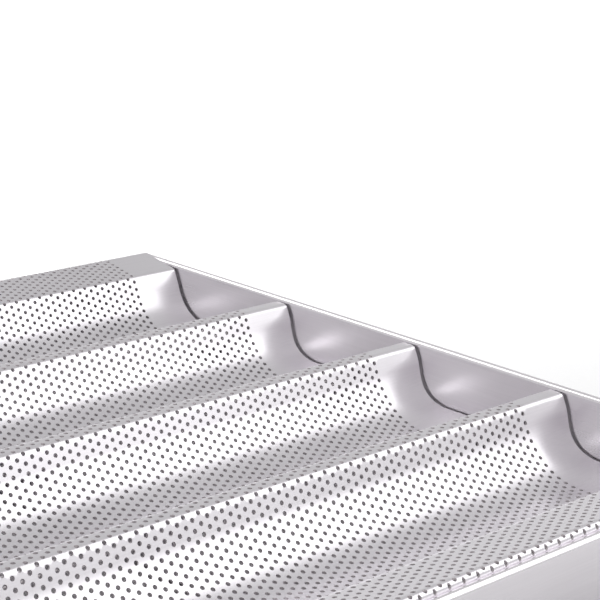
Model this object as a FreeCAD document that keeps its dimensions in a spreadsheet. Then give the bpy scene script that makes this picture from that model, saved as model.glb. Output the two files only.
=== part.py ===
import FreeCAD, Part
import math
import os
import Sketcher
from FreeCAD import Placement, Rotation, Vector

# Four-trough baguette tray with a folded frame, standard 600 x 400 mm bakery size.
# X runs along the troughs, Y across them and Z up. The origin is the middle of the tray's
# footprint, at the height of the surface that it stands on. The trough sheet is plain here:
# its perforation is left to the visual model.

doc = FreeCAD.newDocument("BaguetteTray")
dims = doc.addObject("Spreadsheet::Sheet", "dims")

# Driving dimensions: millimetres, degrees or pieces
DRIVING = {
    "tray_length": 600.0,          # outside of the frame, along the troughs
    "tray_width": 400.0,           # outside of the frame, across the troughs
    "trough_count": 4,
    "land_width": 23.6,            # strip between an outer trough and the frame
    "land_angle": 9.4,             # that strip rises towards the frame
    "bottom_flat": 13.2,           # flat at the bottom of a trough
    "wall_angle": 65.0,            # steepest slope of a trough wall
    "wall_run": 7.3,               # straight part of a trough wall
    "shoulder_radius": 2.9,        # outside radius between a wall and a ridge
    "ridge_top": 4.0,              # flat on top of a ridge
    "sheet_thickness": 1.0,
    "edge_radius": 2.2,            # outside radius of the bend into a side flange
    "flange_depth": 14.0,          # straight part of a side flange
    "under_clearance": 5.3,        # ground to the underside of the troughs
    "ridge_drop": 1.8,             # top of the frame down to the top of a ridge
    "end_gap": 1.2,                # sheet's end to the end rail's inner face
    "rail_thickness": 4.4,         # folded rail, outer face to inner face
    "rail_skin": 1.2,              # sheet that the rails are folded from
    "foot_width": 9.0,             # inturned foot of a rail
    "ledge_width": 12.0,           # inturned ledge that carries the sheet's end
    "ledge_clearance": 0.3,        # end of a ledge to the side rail
    "bracket_thickness": 2.0,
    "bracket_bottom": 8.0,         # ground to a corner bracket
    "bracket_arm_gap": 1.6,        # end of a bracket's arm to the outer trough
    "bracket_top_gap": 3.2,        # top of a bracket to the sheet over it
    "bracket_flange_gap": 4.0,     # a bracket's arm stops short of the side flange by this
    "brace_thickness": 2.0,
    "brace_width": 25.0,
    "brace_tab_gap": 1.25,         # upturned end of a brace to the side flange over it
    "brace_spacing": 200.0,        # middle of one brace to the middle of the other
    "rivet_shank": 3.2,
    "rivet_fit": 0.1,              # a rivet hole is larger than the shank by this
    "rivet_head": 6.4,
    "rivet_head_height": 1.1,
    "rivet_bulb": 4.6,             # set end of a blind rivet
    "rivet_bulb_height": 1.2,
    "flange_rivet_pairs": 3,       # rivets along half of a side flange
    "flange_rivet_end": 45.0,      # last rivet to the end of the side flange
    "flange_rivet_edge": 6.0,      # rivet's middle to the lower edge of the side flange
}

WALL = "wall_angle * 1 deg"
LAND = "land_angle * 1 deg"

# Values that follow from the driving ones
DERIVED = {
    "half_length": "tray_length / 2",
    "half_width": "tray_width / 2",
    "end_inner": "half_length - rail_thickness",
    "side_inner": "half_width - rail_thickness",
    "foot_half_length": "half_length - foot_width",
    "foot_half_width": "half_width - foot_width",
    "ledge_half": "side_inner - ledge_clearance",
    "ledge_reach": "rail_thickness + ledge_width",
    "sheet_half": "end_inner - end_gap",
    "outer_edge": "side_inner - land_width",
    "trough_pitch": "(2 * outer_edge + ridge_top) / trough_count",
    "bottom_radius": f"((trough_pitch - ridge_top - bottom_flat) / 2 - wall_run * cos({WALL}))"
                     f" / sin({WALL}) - shoulder_radius",
    "trough_depth": f"(bottom_radius + shoulder_radius) * (1 - cos({WALL}))"
                    f" + wall_run * sin({WALL})",
    "trough_floor": "under_clearance + sheet_thickness",
    "ridge_height": "trough_floor + trough_depth",
    "rail_height": "ridge_height + ridge_drop",
    "land_run": f"land_width - edge_radius * (1 + sin({LAND})) + shoulder_radius * sin({LAND})",
    "bend_height": f"ridge_height - shoulder_radius * (1 - cos({LAND}))"
                   f" + land_run * tan({LAND}) - edge_radius * cos({LAND})",
    "flange_bottom": "bend_height - flange_depth",
    "bracket_arm": "land_width - bracket_arm_gap",
    "bracket_height": "ridge_height - sheet_thickness - bracket_top_gap - bracket_bottom",
    "flange_half": "sheet_half - bracket_arm - bracket_flange_gap",
    "flange_rivet_up": "flange_bottom + flange_rivet_edge",
    "flange_rivet_last": "flange_half - flange_rivet_end",
    "fold_radius": "rail_thickness / 2 - 0.01",
    "inner_skin": "rail_thickness - rail_skin",
    "hollow_top": "rail_height - rail_skin",
    "ledge_bottom": "under_clearance - rail_skin",
    "rivet_hole": "rivet_shank + rivet_fit",
    "bracket_rivet_low": "bracket_bottom + bracket_height / 4",
    "bracket_rivet_high": "bracket_bottom + bracket_height * 3 / 4",
    "bracket_rivet_in": "(bracket_arm + bracket_thickness) / 2",
    "bracket_rivet_side": "end_inner - bracket_rivet_in",
    "bracket_rivet_end": "side_inner - bracket_rivet_in",
    "brace_half": "brace_spacing / 2",
    "brace_bottom": "under_clearance - brace_thickness",
    "brace_tab_inner": "side_inner - brace_thickness",
    "brace_tab_top": "flange_bottom - brace_tab_gap",
    "brace_rivet_up": "(under_clearance + brace_tab_top) / 2",
    "brace_rivet_out": "brace_width / 4",
    "brace_rivet_near": "brace_half - brace_rivet_out",
    "brace_rivet_far": "brace_half + brace_rivet_out",
}
for pair in range(DRIVING["flange_rivet_pairs"]):
    share = f"{2 * pair + 1} / (2 * flange_rivet_pairs - 1)"
    DERIVED[f"flange_rivet_pair_{pair}"] = f"flange_rivet_last * {share}"

for row, (alias, value) in enumerate(DRIVING.items(), start=1):
    dims.set(f"A{row}", alias.replace("_", " "))
    dims.set(f"B{row}", str(value))
    dims.setAlias(f"B{row}", alias)
for row, (alias, formula) in enumerate(DERIVED.items(), start=len(DRIVING) + 2):
    dims.set(f"A{row}", alias.replace("_", " "))
    dims.set(f"B{row}", "=" + formula)
    dims.setAlias(f"B{row}", alias)
doc.recompute()

nodes = []


def size(term):
    """Number behind an alias, which may have a minus sign in front; "" is zero."""
    if not term:
        return 0.0
    value = getattr(dims, term.lstrip("-"))
    number = float(getattr(value, "Value", value))
    return -number if term.startswith("-") else number


def formula_of(term):
    """Expression that binds a property to an alias, with or without a minus sign."""
    return "-dims." + term[1:] if term.startswith("-") else "dims." + term


def sketch_on(body, name, plane, outset=None):
    """Empty sketch on one of the body's own origin planes, moved out by an expression."""
    sketch = body.newObject("Sketcher::SketchObject", name)
    origin_plane = next(f for f in body.Origin.OriginFeatures if f.Role == plane)
    sketch.AttachmentSupport = [(origin_plane, "")]
    sketch.MapMode = "FlatFace"
    if outset is not None:
        sketch.setExpression("AttachmentOffset.Base.z", outset)
    return sketch


def hold(sketch, element, point, x, y):
    """Fix a point of a sketch at two aliases from the sketch's origin; "" is on an axis."""
    for kind, axis, term in (("DistanceX", -2, x), ("DistanceY", -1, y)):
        if term:
            bound = Sketcher.Constraint(kind, -1, 1, element, point, size(term))
            number = sketch.addConstraint(bound)
            sketch.setExpression(f"Constraints[{number}]", formula_of(term))
        else:
            sketch.addConstraint(Sketcher.Constraint("PointOnObject", element, point, axis))


def outline(sketch, corners):
    """Closed outline through corners, each a pair of aliases."""
    points = [Vector(size(x), size(y), 0) for x, y in corners]
    for start, end in zip(points, points[1:] + points[:1]):
        sketch.addGeometry(Part.LineSegment(start, end), False)
    for index, (x, y) in enumerate(corners):
        following = (index + 1) % len(corners)
        sketch.addConstraint(Sketcher.Constraint("Coincident", index, 2, following, 1))
        hold(sketch, index, 1, x, y)


def rivet_circles(sketch, centres):
    """A circle of the rivet hole's diameter at each centre, a pair of aliases."""
    for index, (x, y) in enumerate(centres):
        middle = Vector(size(x), size(y), 0)
        sketch.addGeometry(Part.Circle(middle, Vector(0, 0, 1), size("rivet_hole") / 2), False)
        hold(sketch, index, 3, x, y)
        bound = Sketcher.Constraint("Diameter", index, size("rivet_hole"))
        number = sketch.addConstraint(bound)
        sketch.setExpression(f"Constraints[{number}]", "dims.rivet_hole")


def pad(body, name, sketch, length, midplane=False):
    """Pad of a sketch; its length is an expression."""
    feature = body.newObject("PartDesign::Pad", name)
    feature.Profile = sketch
    feature.Midplane = midplane
    feature.setExpression("Length", length)
    doc.recompute()
    return feature


def pocket(body, name, sketch, length):
    """Pocket half of a length to each side of its sketch, sure to have cut something."""
    before = body.Shape.Volume
    feature = body.newObject("PartDesign::Pocket", name)
    feature.Profile = sketch
    feature.Midplane = True
    feature.setExpression("Length", length)
    doc.recompute()
    if body.Shape.Volume > before - 0.1:
        raise RuntimeError(f"{body.Label}: {name} cuts nothing")
    return feature


def place(node, angle, x="", y=""):
    """Turn a node about Z and set its origin down at two aliases."""
    node.Placement = Placement(Vector(), Rotation(Vector(0, 0, 1), angle))
    for axis, term in (("x", x), ("y", y)):
        if term:
            node.setExpression(f"Placement.Base.{axis}", formula_of(term))


def mirrored(*aliases):
    """Each alias with and without a minus sign."""
    return [sign + alias for alias in aliases for sign in ("", "-")]


# ------------------------------------------------------------------ frame rails


def mitred(outer_half, inner_half, inner):
    """Plan of a strip along one side of the frame, mitred at both ends."""
    return [("-" + outer_half, ""), (outer_half, ""), (inner_half, inner), ("-" + inner_half, inner)]


def square_ended(half, start, end):
    """Plan of a strip with square ends."""
    return [("-" + half, start), (half, start), (half, end), ("-" + half, end)]


def make_rail(label, half, inner_half, foot_half, rivets, has_ledge):
    """Rail folded from one strip: outer wall, rounded top, inner wall and inturned foot.

    It is drawn along X, with its outer face on Y = 0 and the inside of the frame at +Y.
    """
    body = doc.addObject("PartDesign::Body", label)
    plan = sketch_on(body, "plan", "XY_Plane")
    outline(plan, mitred(half, inner_half, "rail_thickness"))
    wall = pad(body, "wall", plan, "dims.rail_height")

    long_edges = []
    for number, edge in enumerate(wall.Shape.Edges, start=1):
        box = edge.BoundBox
        if box.ZMin > size("rail_height") / 2 and box.YLength < size("rail_skin"):
            long_edges.append(f"Edge{number}")
    fold = body.newObject("PartDesign::Fillet", "fold")
    fold.Base = (wall, long_edges)
    fold.setExpression("Radius", "dims.fold_radius")
    doc.recompute()

    hollow = sketch_on(body, "hollow_plan", "XY_Plane")
    outline(hollow, square_ended(half, "rail_skin", "inner_skin"))
    pocket(body, "hollow", hollow, "dims.hollow_top * 2")
    under = sketch_on(body, "inner_wall_end", "XY_Plane")
    outline(under, square_ended(half, "rail_skin", "foot_width"))
    pocket(body, "inner_wall_trim", under, "dims.ledge_bottom * 2")

    foot = sketch_on(body, "foot_plan", "XY_Plane")
    outline(foot, mitred(half, foot_half, "foot_width"))
    pad(body, "foot", foot, "dims.rail_skin")
    if has_ledge:
        ledge = sketch_on(body, "ledge_plan", "XY_Plane", "dims.ledge_bottom")
        outline(ledge, square_ended("ledge_half", "inner_skin", "ledge_reach"))
        pad(body, "ledge", ledge, "dims.rail_skin")

    holes = sketch_on(body, "rivet_plan", "XZ_Plane", "-dims.rail_thickness")
    rivet_circles(holes, rivets)
    pocket(body, "rivet_holes", holes, "dims.rail_skin * 2.5")
    nodes.append(body)
    return body


BRACKET_HEIGHTS = ("bracket_rivet_low", "bracket_rivet_high")
FLANGE_PAIRS = [f"flange_rivet_pair_{pair}" for pair in range(DRIVING["flange_rivet_pairs"])]

side_rivets = [(x, up) for x in mirrored("bracket_rivet_side") for up in BRACKET_HEIGHTS]
side_rivets += [(x, "brace_rivet_up") for x in mirrored("brace_rivet_near", "brace_rivet_far")]
side_rivets += [(x, "flange_rivet_up") for x in mirrored(*FLANGE_PAIRS)]
end_rivets = [(x, up) for x in mirrored("bracket_rivet_end") for up in BRACKET_HEIGHTS]

for label, angle, y in (("side_rail_front", 0, "-half_width"), ("side_rail_back", 180, "half_width")):
    rail = make_rail(label, "half_length", "end_inner", "foot_half_length", side_rivets, False)
    place(rail, angle, y=y)
for label, angle, x in (("end_rail_left", -90, "-half_length"), ("end_rail_right", 90, "half_length")):
    rail = make_rail(label, "half_width", "side_inner", "foot_half_width", end_rivets, True)
    place(rail, angle, x=x)


# ------------------------------------------------------------------ trough sheet


class SheetPath:
    """Walks across the upper face of the bent sheet and keeps both of its faces.

    The heading is in degrees: 0 goes towards +Y and 90 goes up. The upper face is on the
    left of the walk and the lower face is one thickness to the right.
    """

    def __init__(self, y, z, heading):
        self.at = Vector(0, y, z)
        self.heading = heading
        self.upper = []
        self.lower = []

    def below(self, point, heading):
        """Point of the lower face under a point of the upper face."""
        turned = math.radians(heading)
        across = Vector(0, math.sin(turned), -math.cos(turned))
        return point + across * size("sheet_thickness")

    def straight(self, length):
        """Flat stretch."""
        turned = math.radians(self.heading)
        end = self.at + Vector(0, math.cos(turned), math.sin(turned)) * length
        under = self.below(self.at, self.heading), self.below(end, self.heading)
        self.upper.append(Part.makeLine(self.at, end))
        self.lower.append(Part.makeLine(*under))
        self.at = end

    def bend(self, radius, turn):
        """Bend with this radius on the upper face; a positive turn is to the left."""
        side = math.copysign(1.0, turn)
        start = math.radians(self.heading)
        centre = self.at + Vector(0, -math.sin(start), math.cos(start)) * radius * side
        places = []
        for share in (0.0, 0.5, 1.0):
            heading = self.heading + turn * share
            angle = math.radians(heading)
            point = centre + Vector(0, math.sin(angle), -math.cos(angle)) * radius * side
            places.append((point, self.below(point, heading)))
        self.upper.append(Part.Arc(*[upper for upper, _ in places]).toShape())
        self.lower.append(Part.Arc(*[lower for _, lower in places]).toShape())
        self.at = places[-1][0]
        self.heading += turn

    def face(self):
        """Section of the sheet between its two faces."""
        first = Part.makeLine(self.lower[0].Vertexes[0].Point, self.upper[0].Vertexes[0].Point)
        last = Part.makeLine(self.upper[-1].Vertexes[-1].Point, self.lower[-1].Vertexes[-1].Point)
        edges = [first] + self.upper + [last] + self.lower[::-1]
        return Part.Face(Part.Wire(edges))


def sheet_section():
    """Section of the trough sheet: side flange, land, troughs and ridges, land, flange."""
    wall, land = size("wall_angle"), size("land_angle")
    shoulder, bottom = size("shoulder_radius"), size("bottom_radius")
    slope = size("land_run") / math.cos(math.radians(land))
    path = SheetPath(-size("side_inner"), size("flange_bottom"), 90.0)
    path.straight(size("flange_depth"))
    path.bend(size("edge_radius"), -90.0 - land)
    path.straight(slope)
    path.bend(shoulder, land - wall)
    for trough in range(DRIVING["trough_count"]):
        if trough:
            path.bend(shoulder, -wall)
            path.straight(size("ridge_top"))
            path.bend(shoulder, -wall)
        path.straight(size("wall_run"))
        path.bend(bottom, wall)
        path.straight(size("bottom_flat"))
        path.bend(bottom, wall)
        path.straight(size("wall_run"))
    path.bend(shoulder, land - wall)
    path.straight(slope)
    path.bend(size("edge_radius"), -90.0 - land)
    path.straight(size("flange_depth"))
    return path.face()


def make_sheet():
    """Trough sheet, its side flanges cut back at the corners and drilled for rivets."""
    half, flange_half = size("sheet_half"), size("flange_half")
    section = sheet_section()
    section.translate(Vector(-half, 0, 0))
    solid = section.extrude(Vector(2 * half, 0, 0))

    tools = []
    depth = size("sheet_thickness") * 3
    for side in (-1, 1):
        face = side * size("side_inner")
        for x in (-half, flange_half):
            corner = Vector(x, face - depth / 2, size("flange_bottom"))
            tools.append(Part.makeBox(half - flange_half, depth, size("flange_depth"), corner))
        for term in mirrored(*FLANGE_PAIRS):
            start = Vector(size(term), face - depth / 2, size("flange_rivet_up"))
            tools.append(Part.makeCylinder(size("rivet_hole") / 2, depth, start, Vector(0, 1, 0)))
    sheet = doc.addObject("Part::Feature", "trough_sheet")
    sheet.Shape = solid.cut(tools).removeSplitter()
    nodes.append(sheet)


make_sheet()


# ------------------------------------------------------------------ corner brackets and braces


def make_bracket(label, angle, x, y):
    """Angle bracket inside one corner of the frame, its outer corner at the drawing's origin."""
    body = doc.addObject("PartDesign::Body", label)
    plan = sketch_on(body, "plan", "XY_Plane", "dims.bracket_bottom")
    arm, thickness = "bracket_arm", "bracket_thickness"
    outline(plan, [("", ""), (arm, ""), (arm, thickness), (thickness, thickness),
                   (thickness, arm), ("", arm)])
    pad(body, "angle", plan, "dims.bracket_height")
    for plane in ("XZ_Plane", "YZ_Plane"):
        holes = sketch_on(body, "rivets_" + plane[:2], plane)
        rivet_circles(holes, [("bracket_rivet_in", up) for up in BRACKET_HEIGHTS])
        pocket(body, "rivet_holes_" + plane[:2], holes, "dims.bracket_thickness * 3")
    place(body, angle, x, y)
    nodes.append(body)


CORNERS = {
    "front_left": (0, "-end_inner", "-side_inner"),
    "front_right": (90, "end_inner", "-side_inner"),
    "back_right": (180, "end_inner", "side_inner"),
    "back_left": (270, "-end_inner", "side_inner"),
}
for corner, (angle, x, y) in CORNERS.items():
    make_bracket("corner_bracket_" + corner, angle, x, y)


def make_brace(label, x):
    """Flat strap under the troughs, with both ends turned up against the side rails."""
    body = doc.addObject("PartDesign::Body", label)
    section = sketch_on(body, "section", "YZ_Plane")
    outer = [("side_inner", "brace_bottom"), ("side_inner", "brace_tab_top"),
             ("brace_tab_inner", "brace_tab_top"), ("brace_tab_inner", "under_clearance")]
    outline(section, outer + [("-" + y, z) for y, z in reversed(outer)])
    pad(body, "strap", section, "dims.brace_width", midplane=True)
    holes = sketch_on(body, "rivet_plan", "XZ_Plane")
    rivet_circles(holes, [(term, "brace_rivet_up") for term in mirrored("brace_rivet_out")])
    pocket(body, "rivet_holes", holes, "dims.tray_width")
    place(body, 0, x)
    nodes.append(body)


for label, x in (("cross_brace_left", "-brace_half"), ("cross_brace_right", "brace_half")):
    make_brace(label, x)


# ------------------------------------------------------------------ blind rivets


def rivet_solid(grip):
    """Blind rivet along +Z: domed head below Z = 0, shank through the grip, set end above."""
    head, dome = size("rivet_head") / 2, size("rivet_head_height")
    shank, bulb = size("rivet_shank") / 2, size("rivet_bulb") / 2
    end = grip + size("rivet_bulb_height")
    dome_radius = (head ** 2 + dome ** 2) / (2 * dome)
    halfway = math.asin(head / dome_radius) / 2
    on_dome = Vector(math.sin(halfway), 0, 1 - math.cos(halfway)) * dome_radius
    crown = Part.Arc(Vector(head, 0, 0), on_dome - Vector(0, 0, dome), Vector(0, 0, -dome))
    stations = [Vector(0, 0, -dome), Vector(0, 0, end), Vector(bulb, 0, end), Vector(bulb, 0, grip),
                Vector(shank, 0, grip), Vector(shank, 0, 0), Vector(head, 0, 0)]
    edges = [Part.makeLine(a, b) for a, b in zip(stations, stations[1:])] + [crown.toShape()]
    return Part.Face(Part.Wire(edges)).revolve(Vector(), Vector(0, 0, 1), 360)


def make_rivets(label, plate, seats):
    """Group of equal rivets through a plate and a rail's inner wall.

    A seat is the head's place on the inner face of the frame and the rivet's direction.
    """
    pattern = rivet_solid(size(plate) + size("rail_skin"))
    solids = []
    for point, direction in seats:
        head_face = point - direction * size(plate)
        solid = pattern.copy()
        solid.Placement = Placement(head_face, Rotation(Vector(0, 0, 1), direction))
        solids.append(solid)
    group = doc.addObject("Part::Feature", label)
    group.Shape = Part.Compound(solids)
    nodes.append(group)


for name, side in (("front", -1), ("back", 1)):
    outward = Vector(0, side, 0)
    face = side * size("side_inner")
    seats = [(Vector(size(x), face, size("flange_rivet_up")), outward) for x in mirrored(*FLANGE_PAIRS)]
    make_rivets("flange_rivets_" + name, "sheet_thickness", seats)

for name, middle in (("left", -size("brace_half")), ("right", size("brace_half"))):
    seats = [(Vector(middle + size(out), side * size("side_inner"), size("brace_rivet_up")),
              Vector(0, side, 0)) for side in (-1, 1) for out in mirrored("brace_rivet_out")]
    make_rivets("brace_rivets_" + name, "brace_thickness", seats)

for corner, (_, x, y) in CORNERS.items():
    toward_x = math.copysign(1.0, size(x))
    toward_y = math.copysign(1.0, size(y))
    seats = []
    for up in BRACKET_HEIGHTS:
        on_side = Vector(toward_x * size("bracket_rivet_side"), size(y), size(up))
        on_end = Vector(size(x), toward_y * size("bracket_rivet_end"), size(up))
        seats += [(on_side, Vector(0, toward_y, 0)), (on_end, Vector(toward_x, 0, 0))]
    make_rivets("corner_rivets_" + corner, "bracket_thickness", seats)

# ------------------------------------------------------------------ check and write
doc.recompute()
for item in doc.Objects:
    if {"Invalid", "Error"} & set(item.State):
        raise RuntimeError(f"{item.Label} failed: {item.State}")
os.makedirs("parts", exist_ok=True)
for node in nodes:
    if node.Shape.isNull() or not node.Shape.isValid() or not node.Shape.Solids:
        raise RuntimeError(f"{node.Label} has no valid solid")
    node.Shape.exportStep(f"parts/{node.Label}.step")
    box = node.Shape.BoundBox
    print(node.Label, len(node.Shape.Solids), round(node.Shape.Volume, 1),
          [round(v, 2) for v in (box.XMin, box.YMin, box.ZMin, box.XMax, box.YMax, box.ZMax)])
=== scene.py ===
"""Looks of a four-trough baguette tray: a perforated aluminium sheet in a folded frame."""

import logging
import math
from dataclasses import dataclass, field
from enum import Enum
from typing import Iterable, Sequence, Union

import bpy
import numpy as np
from mathutils import Euler, Matrix, Vector


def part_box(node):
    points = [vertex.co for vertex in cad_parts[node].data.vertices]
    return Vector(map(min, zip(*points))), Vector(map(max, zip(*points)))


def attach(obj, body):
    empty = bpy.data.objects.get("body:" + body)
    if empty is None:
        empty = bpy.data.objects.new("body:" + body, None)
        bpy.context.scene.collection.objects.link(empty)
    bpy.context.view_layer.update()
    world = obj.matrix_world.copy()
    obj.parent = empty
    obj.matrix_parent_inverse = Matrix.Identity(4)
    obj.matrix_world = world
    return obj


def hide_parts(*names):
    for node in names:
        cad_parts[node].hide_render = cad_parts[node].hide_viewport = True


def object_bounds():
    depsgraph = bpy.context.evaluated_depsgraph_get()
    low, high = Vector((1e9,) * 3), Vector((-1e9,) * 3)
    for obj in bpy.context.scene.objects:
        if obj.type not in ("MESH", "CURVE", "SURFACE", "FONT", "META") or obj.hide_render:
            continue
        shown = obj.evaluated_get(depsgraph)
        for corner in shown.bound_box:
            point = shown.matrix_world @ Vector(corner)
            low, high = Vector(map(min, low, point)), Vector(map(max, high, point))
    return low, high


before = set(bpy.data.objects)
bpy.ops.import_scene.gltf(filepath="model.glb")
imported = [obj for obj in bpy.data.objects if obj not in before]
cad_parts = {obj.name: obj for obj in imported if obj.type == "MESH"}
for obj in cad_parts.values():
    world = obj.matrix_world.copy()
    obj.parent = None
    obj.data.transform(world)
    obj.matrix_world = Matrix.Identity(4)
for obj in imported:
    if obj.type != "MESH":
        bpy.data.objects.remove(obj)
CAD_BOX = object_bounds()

log = logging.getLogger("baguette_tray")

MM = 0.001

Number = Union[int, float]
Colour = tuple[float, float, float]
Triple = tuple[float, float, float]


def millimetres(length: float) -> float:
    """Length in millimetres, to the nearest thousandth."""
    return round(length / MM, 3)


SHEET_LOW, SHEET_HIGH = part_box("trough_sheet")
RAIL_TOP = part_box("side_rail_front")[1].z


# ---------------------------------------------------------------- shader expressions


class Tree:
    """Node tree with one way to add a node and set it up."""

    def __init__(self, nodes: bpy.types.NodeTree) -> None:
        """Empties the tree.

        Args:
            nodes: Node tree of a material or a world.
        """
        self.tree = nodes
        self.tree.nodes.clear()

    def node(self, kind: str, settings: dict | None = None, inputs: dict | None = None) -> bpy.types.Node:
        """Adds a node.

        Args:
            kind: Type name of the node.
            settings: Properties by name, or a ramp's stops, all set before the sockets.
            inputs: Values, sockets, numbers or colours for input sockets, by name or index.

        Returns:
            The new node.
        """
        node = self.tree.nodes.new(kind)
        for name, setting in (settings or {}).items():
            if name == "stops":
                self._set_stops(node.color_ramp.elements, setting)
            else:
                setattr(node, name, setting)
        for name, given in (inputs or {}).items():
            self.feed(node.inputs[name], given)
        return node

    @staticmethod
    def _set_stops(elements: bpy.types.ColorRampElements, stops: Sequence[tuple[float, float]]) -> None:
        """Sets a ramp's grey stops.

        Args:
            elements: The ramp's own two stops.
            stops: Position and level of each.
        """
        for element, (position, level) in zip(elements, stops):
            element.position = position
            element.color = (level, level, level, 1.0)

    def feed(self, slot: bpy.types.NodeSocket, given: object) -> None:
        """Links a socket to an input, or sets the input's own value.

        Args:
            slot: Input socket.
            given: Value, output socket, number, vector or colour.
        """
        if isinstance(given, Value):
            self.tree.links.new(given.socket, slot)
        elif isinstance(given, bpy.types.NodeSocket):
            self.tree.links.new(given, slot)
        else:
            slot.default_value = given


class Value:
    """A number socket that takes part in Python arithmetic by adding Math nodes."""

    def __init__(self, tree: Tree, socket: bpy.types.NodeSocket) -> None:
        """Wraps a socket.

        Args:
            tree: Tree the socket belongs to.
            socket: Output socket that carries one number.
        """
        self.tree = tree
        self.socket = socket

    def _math(self, operation: str, first: "Value | Number", second: "Value | Number") -> "Value":
        """Adds one Math node.

        Args:
            operation: Name of the Math node's operation.
            first: Left operand.
            second: Right operand.

        Returns:
            The node's result.
        """
        node = self.tree.node("ShaderNodeMath", {"operation": operation}, {0: first, 1: second})
        return Value(self.tree, node.outputs[0])

    def __add__(self, other: "Value | Number") -> "Value":
        """Sum."""
        return self._math("ADD", self, other)

    __radd__ = __add__

    def __sub__(self, other: "Value | Number") -> "Value":
        """Difference."""
        return self._math("SUBTRACT", self, other)

    def __rsub__(self, other: Number) -> "Value":
        """Difference with the number on the left."""
        return self._math("SUBTRACT", other, self)

    def __mul__(self, other: "Value | Number") -> "Value":
        """Product."""
        return self._math("MULTIPLY", self, other)

    __rmul__ = __mul__

    def at_most(self, limit: Number) -> "Value":
        """Smaller of the value and a limit."""
        return self._math("MINIMUM", self, limit)

    def at_least(self, limit: Number) -> "Value":
        """Larger of the value and a limit."""
        return self._math("MAXIMUM", self, limit)


class Grain(Enum):
    """Direction of the lines in a metal's surface."""

    LENGTHWISE = "X"
    CROSSWISE = "Y"
    UPRIGHT = "Z"


@dataclass(frozen=True)
class Texture:
    """Soft noise whose cells may be drawn out along the grain.

    Attributes:
        along: Cells per metre along the grain.
        across: Cells per metre across it.
        octaves: Finer layers added to the first.
        kept: Share of its strength that each finer layer keeps.
    """

    along: float
    across: float
    octaves: float
    kept: float

    def scale(self, grain: Grain) -> Triple:
        """Cells per metre along X, Y and Z."""
        return tuple(self.along if axis == grain.value else self.across for axis in "XYZ")


class Shader(Tree):
    """Node tree of one material, with short ways to add the nodes a finish needs."""

    MIX_LOW, MIX_HIGH, MIX_RESULT = 6, 7, 2

    def __init__(self, name: str) -> None:
        """Starts a material.

        Args:
            name: Name of the material.
        """
        self.material = bpy.data.materials.new(name)
        self.material.use_nodes = True
        super().__init__(self.material.node_tree)
        self.surface = self.node("ShaderNodeBsdfPrincipled")
        self.node("ShaderNodeOutputMaterial", None, {"Surface": self.surface.outputs[0]})

    def cover(self, inputs: dict) -> bpy.types.Material:
        """Feeds the surface's own sockets.

        Args:
            inputs: Values, sockets, numbers or colours, by the socket's name.

        Returns:
            The finished material.
        """
        for name, given in inputs.items():
            self.feed(self.surface.inputs[name], given)
        return self.material

    def place(self) -> bpy.types.NodeSocket:
        """Coordinates of the surface in the tray's own frame, in metres."""
        return self.node("ShaderNodeTexCoord").outputs["Object"]

    def height(self) -> Value:
        """Height above the ground, in metres."""
        return Value(self, self.node("ShaderNodeSeparateXYZ", None, {0: self.place()}).outputs["Z"])

    def noise(self, texture: Texture, grain: Grain) -> Value:
        """Soft noise over the surface.

        Args:
            texture: Size and detail of the noise.
            grain: Direction in which its cells are drawn out.

        Returns:
            Noise from 0 to 1.
        """
        inputs = {0: self.place(), 1: texture.scale(grain)}
        stretched = self.node("ShaderNodeVectorMath", {"operation": "MULTIPLY"}, inputs)
        inputs = {"Vector": stretched.outputs[0], "Scale": 1.0, "Detail": texture.octaves,
                  "Roughness": texture.kept}
        return Value(self, self.node("ShaderNodeTexNoise", {"noise_dimensions": "3D"}, inputs).outputs["Fac"])

    def between(self, value: Value, low: float, high: float) -> Value:
        """Rises from 0 to 1 while a value goes from a low to a high one."""
        settings = {"stops": ((low, 0.0), (high, 1.0))}
        return Value(self, self.node("ShaderNodeValToRGB", settings, {0: value}).outputs[0])

    def blend(self, share: Value, low: Colour, high: Colour) -> bpy.types.NodeSocket:
        """Colour between two colours.

        Args:
            share: 0 gives the low colour and 1 the high one.
            low: First colour.
            high: Second colour.

        Returns:
            Colour socket.
        """
        settings = {"data_type": "RGBA", "clamp_factor": True}
        inputs = {"Factor": share, self.MIX_LOW: (*low, 1.0), self.MIX_HIGH: (*high, 1.0)}
        return self.node("ShaderNodeMix", settings, inputs).outputs[self.MIX_RESULT]

    def bump(self, height: Value, depth: float, strength: float) -> bpy.types.NodeSocket:
        """Normal bent by a height.

        Args:
            height: Height from 0 to 1.
            depth: Height of 1, in metres.
            strength: Share of the effect.

        Returns:
            Normal socket.
        """
        inputs = {"Height": height, "Distance": depth, "Strength": strength}
        return self.node("ShaderNodeBump", None, inputs).outputs[0]


# ---------------------------------------------------------------- finishes


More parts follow.
